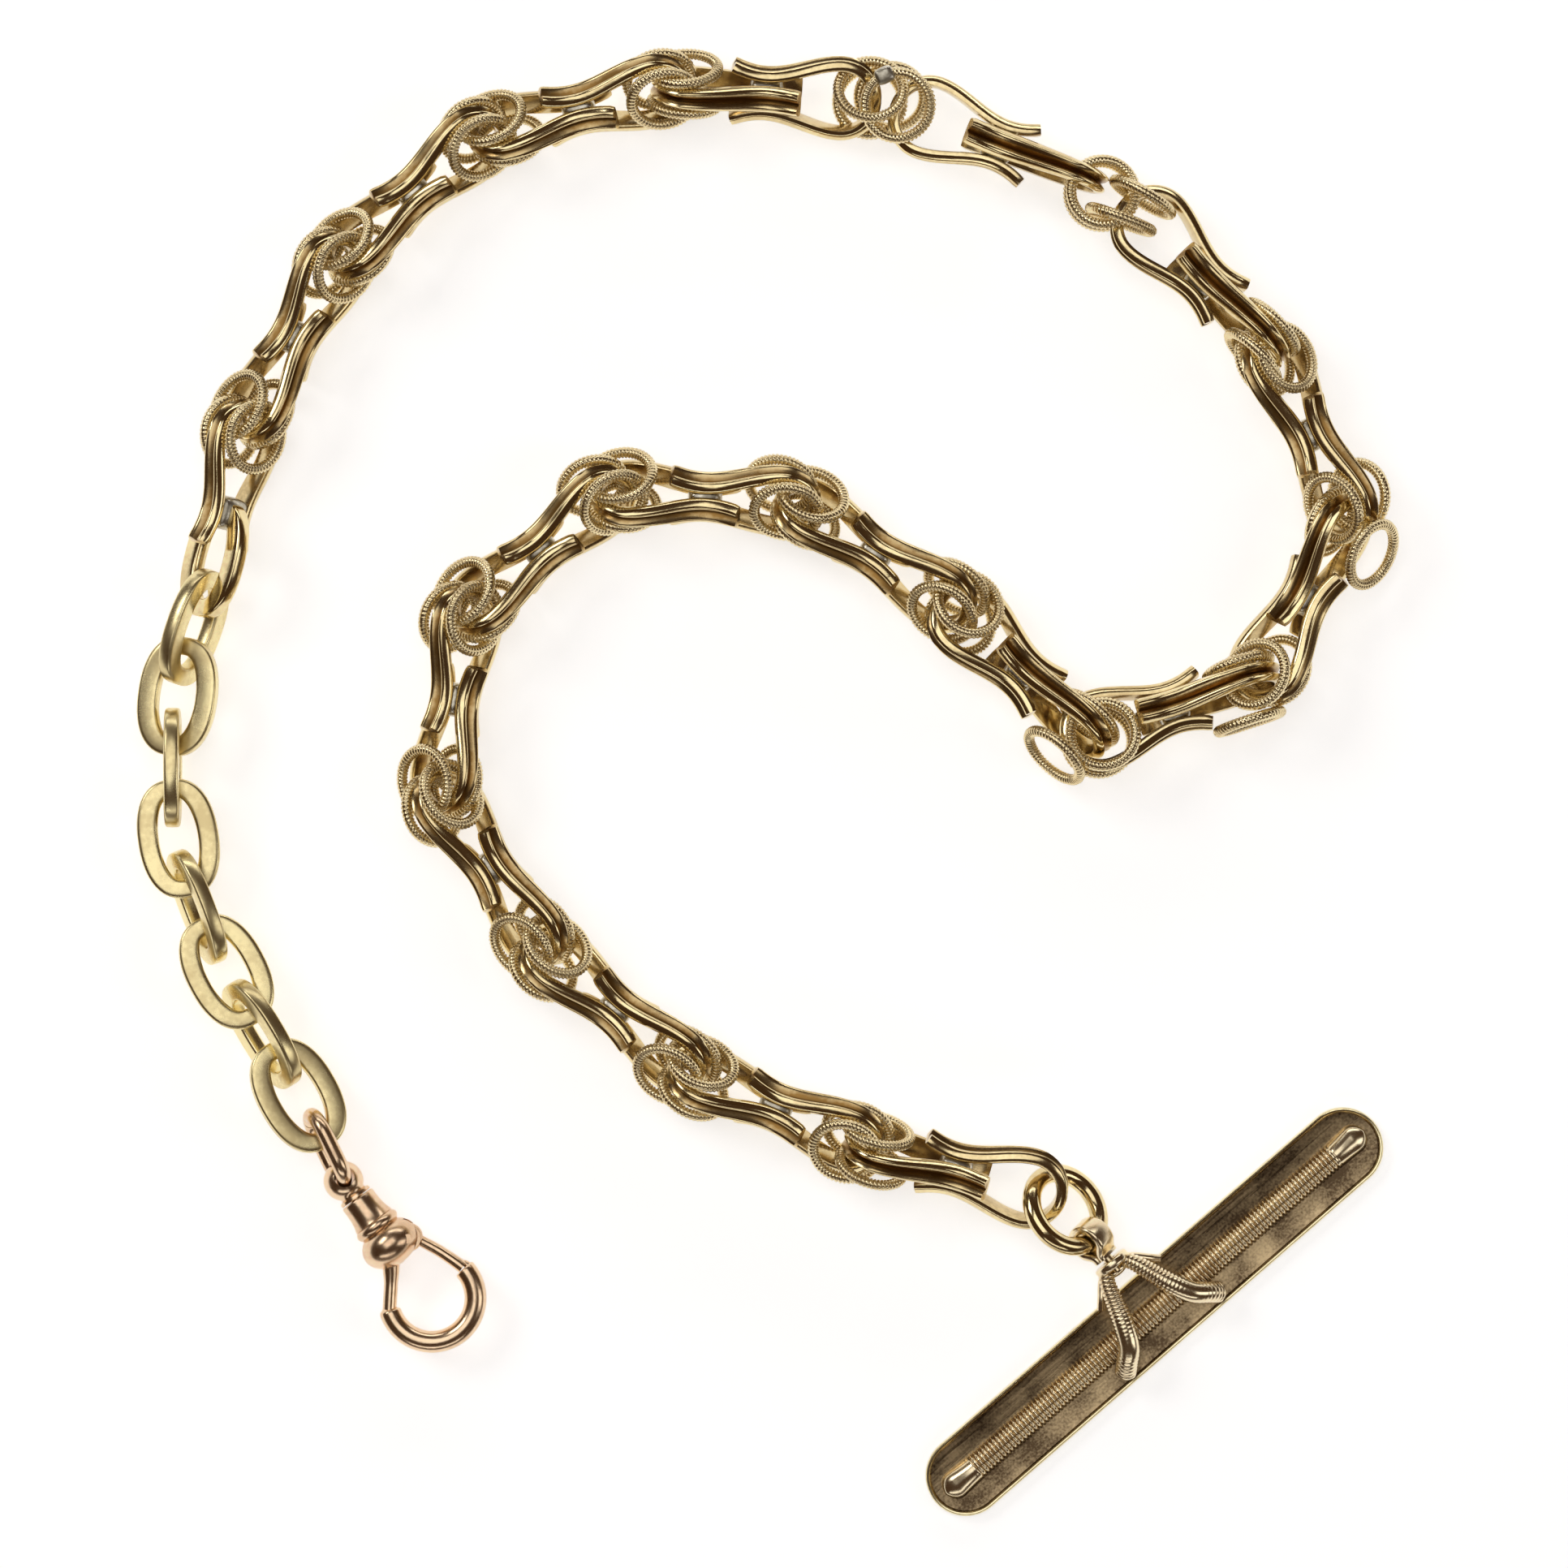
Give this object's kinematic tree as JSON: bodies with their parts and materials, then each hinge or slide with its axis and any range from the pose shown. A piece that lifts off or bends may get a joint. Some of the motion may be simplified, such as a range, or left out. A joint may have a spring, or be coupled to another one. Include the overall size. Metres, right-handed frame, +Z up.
{
  "type": "pocket watch chain",
  "caption": "Gold pocket watch chain of soldered stirrup links tied by beaded rings, with flat end links, a swivel clasp with a sprung gate, and a T-bar with a coiled ridge.",
  "frame": {"origin": "centre of the bounding box, at the surface that the chain lies on", "axes": "+Z up from that surface; the chain lies in a loose S in the XY plane, with the clasp at -X and the bar at -Y and +X"},
  "size_m": [0.0938, 0.1088, 0.0067],
  "materials": {
    "pale_gold": "worn polish",
    "rose_gold": "polished",
    "bar_patina": "dull brushed patina"
  },
  "bodies": {
    "bar": {"bar_plate": "bar_patina", "bar_ridge": "bar_patina", "bar_yoke": "pale_gold"},
    "post": {"post": "pale_gold"},
    "jump_ring": {"jump_ring": "pale_gold"},
    "link_18": {"stirrup_link_18": "pale_gold"},
    "link_17": {"stirrup_link_17": "pale_gold"},
    "link_16": {"stirrup_link_16": "pale_gold"},
    "link_15": {"stirrup_link_15": "pale_gold"},
    "link_14": {"stirrup_link_14": "pale_gold"},
    "link_13": {"stirrup_link_13": "pale_gold"},
    "link_12": {"stirrup_link_12": "pale_gold"},
    "link_11": {"stirrup_link_11": "pale_gold"},
    "link_10": {"stirrup_link_10": "pale_gold"},
    "link_09": {"stirrup_link_09": "pale_gold"},
    "link_08": {"stirrup_link_08": "pale_gold"},
    "link_07": {"stirrup_link_07": "pale_gold"},
    "link_06": {"stirrup_link_06": "pale_gold"},
    "link_05": {"stirrup_link_05": "pale_gold"},
    "link_04": {"stirrup_link_04": "pale_gold"},
    "link_03": {"stirrup_link_03": "pale_gold"},
    "link_02": {"stirrup_link_02": "pale_gold"},
    "link_01": {"stirrup_link_01": "pale_gold"},
    "link_00": {"stirrup_link_00": "pale_gold"},
    "ring_18": {"beaded_ring_18": "pale_gold"},
    "ring_17": {"beaded_ring_17": "pale_gold"},
    "ring_16": {"beaded_ring_16": "pale_gold"},
    "ring_15": {"beaded_ring_15": "pale_gold"},
    "ring_14": {"beaded_ring_14": "pale_gold"},
    "ring_13": {"beaded_ring_13": "pale_gold"},
    "ring_12": {"beaded_ring_12": "pale_gold"},
    "ring_11": {"beaded_ring_11": "pale_gold"},
    "ring_10": {"beaded_ring_10": "pale_gold"},
    "ring_09": {"beaded_ring_09": "pale_gold"},
    "ring_08": {"beaded_ring_08": "pale_gold"},
    "ring_07": {"beaded_ring_07": "pale_gold"},
    "ring_06": {"beaded_ring_06": "pale_gold"},
    "ring_05": {"beaded_ring_05": "pale_gold"},
    "ring_04": {"beaded_ring_04": "pale_gold"},
    "ring_03": {"beaded_ring_03": "pale_gold"},
    "ring_02": {"beaded_ring_02": "pale_gold"},
    "ring_01": {"beaded_ring_01": "pale_gold"},
    "flat_2": {"flat_link_2": "pale_gold"},
    "flat_3": {"flat_link_3": "pale_gold"},
    "flat_4": {"flat_link_4": "pale_gold"},
    "flat_5": {"flat_link_5": "pale_gold"},
    "flat_6": {"flat_link_6": "pale_gold"},
    "flat_7": {"flat_link_7": "pale_gold"},
    "flat_8": {"flat_link_8": "pale_gold"},
    "flat_9": {"flat_link_9": "pale_gold"},
    "shackle": {"shackle": "rose_gold"},
    "eye": {"swivel_eye": "rose_gold"},
    "hook": {"swivel_body": "rose_gold"},
    "gate": {"gate": "rose_gold"}
  },
  "joints": [
    {"name": "post_swivel", "type": "hinge", "parent": "bar", "child": "post", "pos_m": [0.02565, -0.0354, 0.0029], "axis": [0.6561, -0.7547, 0], "continuous": true},
    {"name": "jump_ring_hinge", "type": "hinge", "parent": "post", "child": "jump_ring", "pos_m": [0.02413, -0.03364, 0.0029], "axis": [0.5609, 0.4875, -0.6691], "range_deg": [-21, 21]},
    {"name": "link_18_hinge", "type": "hinge", "parent": "jump_ring", "child": "link_18", "pos_m": [0.02185, -0.03048, 0.0033], "axis": [0.24, 0.8956, 0.3746], "range_deg": [-21, 21]},
    {"name": "ring_18_hinge", "type": "hinge", "parent": "link_18", "child": "ring_18", "pos_m": [0.0079, -0.02687, 0.0033], "axis": [-0.24, -0.8956, -0.3746], "range_deg": [-21, 21]},
    {"name": "link_17_hinge", "type": "hinge", "parent": "ring_18", "child": "link_17", "pos_m": [0.0079, -0.02687, 0.0033], "axis": [0.2512, 0.5917, -0.766], "range_deg": [-7, 17]},
    {"name": "ring_17_hinge", "type": "hinge", "parent": "link_17", "child": "ring_17", "pos_m": [-0.00522, -0.02158, 0.0033], "axis": [0.2993, 0.7051, 0.6428], "range_deg": [-21, 21]},
    {"name": "link_16_hinge", "type": "hinge", "parent": "ring_17", "child": "link_16", "pos_m": [-0.00522, -0.02158, 0.0033], "axis": [-0.4545, -0.5417, 0.7071], "range_deg": [-19, 14]},
    {"name": "ring_16_hinge", "type": "hinge", "parent": "link_16", "child": "ring_16", "pos_m": [-0.01621, -0.01267, 0.0033], "axis": [-0.4545, -0.5417, -0.7071], "range_deg": [-21, 21]},
    {"name": "link_15_hinge", "type": "hinge", "parent": "ring_16", "child": "link_15", "pos_m": [-0.01621, -0.01267, 0.0033], "axis": [0.593, 0.3851, -0.7071], "range_deg": [-12, 21]},
    {"name": "ring_15_hinge", "type": "hinge", "parent": "link_15", "child": "ring_15", "pos_m": [-0.02445, -0.0013, 0.0033], "axis": [0.593, 0.3851, 0.7071], "range_deg": [-21, 21]},
    {"name": "link_14_hinge", "type": "hinge", "parent": "ring_15", "child": "link_14", "pos_m": [-0.02445, -0.0013, 0.0033], "axis": [-0.6984, 0.1106, 0.7071], "range_deg": [-12, 17]},
    {"name": "ring_14_hinge", "type": "hinge", "parent": "link_14", "child": "ring_14", "pos_m": [-0.0229, 0.01266, 0.0033], "axis": [-0.6984, 0.1106, -0.7071], "range_deg": [-21, 21]},
    {"name": "link_13_hinge", "type": "hinge", "parent": "ring_14", "child": "link_13", "pos_m": [-0.0229, 0.01266, 0.0033], "axis": [0.445, -0.5495, -0.7071], "range_deg": [-17, 12]},
    {"name": "ring_13_hinge", "type": "hinge", "parent": "link_13", "child": "ring_13", "pos_m": [-0.01212, 0.02209, 0.0033], "axis": [0.445, -0.5495, 0.7071], "range_deg": [-21, 21]},
    {"name": "link_12_hinge", "type": "hinge", "parent": "ring_13", "child": "link_12", "pos_m": [-0.01212, 0.02209, 0.0033], "axis": [0.037, 0.7061, 0.7071], "range_deg": [-15, 19]},
    {"name": "ring_12_hinge", "type": "hinge", "parent": "link_12", "child": "ring_12", "pos_m": [0.00159, 0.02172, 0.0033], "axis": [0.037, 0.7061, -0.7071], "range_deg": [-21, 21]},
    {"name": "link_11_hinge", "type": "hinge", "parent": "ring_12", "child": "link_11", "pos_m": [0.00159, 0.02172, 0.0033], "axis": [-0.3954, -0.5862, -0.7071], "range_deg": [-14, 15]},
    {"name": "ring_11_hinge", "type": "hinge", "parent": "link_11", "child": "ring_11", "pos_m": [0.01358, 0.01371, 0.0033], "axis": [-0.3954, -0.5862, 0.7071], "range_deg": [-21, 21]},
    {"name": "link_10_hinge", "type": "hinge", "parent": "ring_11", "child": "link_10", "pos_m": [0.01358, 0.01371, 0.0033], "axis": [0.2602, 0.2695, 0.9272], "range_deg": [-17, 7]},
    {"name": "ring_10_hinge", "type": "hinge", "parent": "link_10", "child": "ring_10", "pos_m": [0.02233, 0.00334, 0.0033], "axis": [0.6441, 0.667, -0.3746], "range_deg": [-10, 21]},
    {"name": "link_09_hinge", "type": "hinge", "parent": "ring_10", "child": "link_09", "pos_m": [0.02233, 0.00334, 0.0033], "axis": [0.0748, -0.2301, -0.9703], "range_deg": [-1, 8]},
    {"name": "ring_09_hinge", "type": "hinge", "parent": "link_09", "child": "ring_09", "pos_m": [0.03714, 0.0078, 0.0033], "axis": [0.2998, -0.9228, 0.2419], "range_deg": [-17, 12]},
    {"name": "link_08_hinge", "type": "hinge", "parent": "ring_09", "child": "link_08", "pos_m": [0.03714, 0.0078, 0.0033], "axis": [-0.5141, 0.285, 0.809], "range_deg": [-21, 12]},
    {"name": "ring_08_hinge", "type": "hinge", "parent": "link_08", "child": "ring_08", "pos_m": [0.04375, 0.01779, 0.0033], "axis": [-0.7076, 0.3922, -0.5878], "range_deg": [-21, 21]},
    {"name": "link_07_hinge", "type": "hinge", "parent": "ring_08", "child": "link_07", "pos_m": [0.04375, 0.01779, 0.0033], "axis": [0.6943, 0.3237, -0.6428], "range_deg": [-4, 2]},
    {"name": "ring_07_hinge", "type": "hinge", "parent": "link_07", "child": "ring_07", "pos_m": [0.03724, 0.03297, 0.0033], "axis": [0.5826, 0.2717, 0.766], "range_deg": [-8, 8]},
    {"name": "link_06_hinge", "type": "hinge", "parent": "ring_07", "child": "link_06", "pos_m": [0.03724, 0.03297, 0.0033], "axis": [-0.7084, -0.6841, 0.1736], "range_deg": [-21, 21]},
    {"name": "ring_06_hinge", "type": "hinge", "parent": "link_06", "child": "ring_06", "pos_m": [0.0268, 0.0434, 0.0033], "axis": [-0.1249, -0.1206, -0.9848], "range_deg": [-14, 21]},
    {"name": "link_05_hinge", "type": "hinge", "parent": "ring_06", "child": "link_05", "pos_m": [0.0268, 0.0434, 0.0033], "axis": [0.3584, 0.9336, 0], "range_deg": [-21, 21]},
    {"name": "ring_05_hinge", "type": "hinge", "parent": "link_05", "child": "ring_05", "pos_m": [0.00963, 0.05053, 0.0033], "axis": [0, 0, 1], "range_deg": [-21, 10]},
    {"name": "link_04_hinge", "type": "hinge", "parent": "ring_05", "child": "link_04", "pos_m": [0.00963, 0.05053, 0.0033], "axis": [0.0431, -0.0944, 0.9946], "range_deg": [-21, 10]},
    {"name": "ring_04_hinge", "type": "hinge", "parent": "link_04", "child": "ring_04", "pos_m": [-0.00788, 0.05204, 0.0033], "axis": [-0.0632, -0.9041, -0.4226], "range_deg": [-15, 8]},
    {"name": "link_03_hinge", "type": "hinge", "parent": "ring_04", "child": "link_03", "pos_m": [-0.00788, 0.05204, 0.0033], "axis": [-0.1711, 0.6861, -0.7071], "range_deg": [-21, 21]},
    {"name": "ring_03_hinge", "type": "hinge", "parent": "link_03", "child": "ring_03", "pos_m": [-0.02183, 0.04826, 0.0033], "axis": [-0.1711, 0.6861, 0.7071], "range_deg": [-12, 15]},
    {"name": "link_02_hinge", "type": "hinge", "parent": "ring_03", "child": "link_02", "pos_m": [-0.02183, 0.04826, 0.0033], "axis": [0.4545, -0.5417, 0.7071], "range_deg": [-21, 21]},
    {"name": "ring_02_hinge", "type": "hinge", "parent": "link_02", "child": "ring_02", "pos_m": [-0.03221, 0.03899, 0.0033], "axis": [0.4545, -0.5417, -0.7071], "range_deg": [-19, 15]},
    {"name": "link_01_hinge", "type": "hinge", "parent": "ring_02", "child": "link_01", "pos_m": [-0.03221, 0.03899, 0.0033], "axis": [-0.6184, 0.3428, -0.7071], "range_deg": [-21, 21]},
    {"name": "ring_01_hinge", "type": "hinge", "parent": "link_01", "child": "ring_01", "pos_m": [-0.03893, 0.02617, 0.0033], "axis": [-0.6184, 0.3428, 0.7071], "range_deg": [-10, 17]},
    {"name": "link_00_hinge", "type": "hinge", "parent": "ring_01", "child": "link_00", "pos_m": [-0.03893, 0.02617, 0.0033], "axis": [0.6861, -0.1711, 0.7071], "range_deg": [-21, 21]},
    {"name": "flat_link_2_hinge", "type": "hinge", "parent": "link_00", "child": "flat_2", "pos_m": [-0.04157, 0.01432, 0.00328], "axis": [-0.8188, 0.282, -0.5], "range_deg": [-21, 21]},
    {"name": "flat_link_3_hinge", "type": "hinge", "parent": "flat_2", "child": "flat_3", "pos_m": [-0.04335, 0.00932, 0.00323], "axis": [-0.2059, 0.0289, 0.9781], "range_deg": [-21, 15]},
    {"name": "flat_link_4_hinge", "type": "hinge", "parent": "flat_3", "child": "flat_4", "pos_m": [-0.04408, 0.00407, 0.0032], "axis": [0.9994, 0, -0.0349], "range_deg": [-21, 21]},
    {"name": "flat_link_5_hinge", "type": "hinge", "parent": "flat_4", "child": "flat_5", "pos_m": [-0.04409, -0.00124, 0.00315], "axis": [0.0345, 0.0055, 0.9994], "range_deg": [-21, 17]},
    {"name": "flat_link_6_hinge", "type": "hinge", "parent": "flat_5", "child": "flat_6", "pos_m": [-0.04327, -0.00648, 0.00308], "axis": [0.8656, 0.3323, -0.3746], "range_deg": [-21, 21]},
    {"name": "flat_link_7_hinge", "type": "hinge", "parent": "flat_6", "child": "flat_7", "pos_m": [-0.04135, -0.01143, 0.00302], "axis": [0.1229, 0.0653, 0.9903], "range_deg": [-21, 19]},
    {"name": "flat_link_8_hinge", "type": "hinge", "parent": "flat_7", "child": "flat_8", "pos_m": [-0.03884, -0.01611, 0.00299], "axis": [0.7423, 0.446, -0.5], "range_deg": [-21, 21]},
    {"name": "flat_link_9_hinge", "type": "hinge", "parent": "flat_8", "child": "flat_9", "pos_m": [-0.0361, -0.02064, 0.00294], "axis": [0.2095, 0.121, 0.9703], "range_deg": [-21, 21]},
    {"name": "shackle_hinge", "type": "hinge", "parent": "flat_9", "child": "shackle", "pos_m": [-0.03338, -0.02531, 0.0028], "axis": [-0.8682, -0.4234, 0.2588], "range_deg": [-12, 21]},
    {"name": "eye_hinge", "type": "hinge", "parent": "shackle", "child": "eye", "pos_m": [-0.03143, -0.02931, 0.0027], "axis": [0.2326, 0.1135, 0.9659], "range_deg": [-21, 21]},
    {"name": "barrel_swivel", "type": "hinge", "parent": "eye", "child": "hook", "pos_m": [-0.03044, -0.03062, 0.00245], "axis": [0.6018, -0.7986, 0], "continuous": true},
    {"name": "gate_hinge", "type": "hinge", "parent": "hook", "child": "gate", "pos_m": [-0.02659, -0.03349, 0.00245], "axis": [0, 0, -1], "range_deg": [0, 35], "stiffness_Nm_per_rad": 0.002}
  ]
}
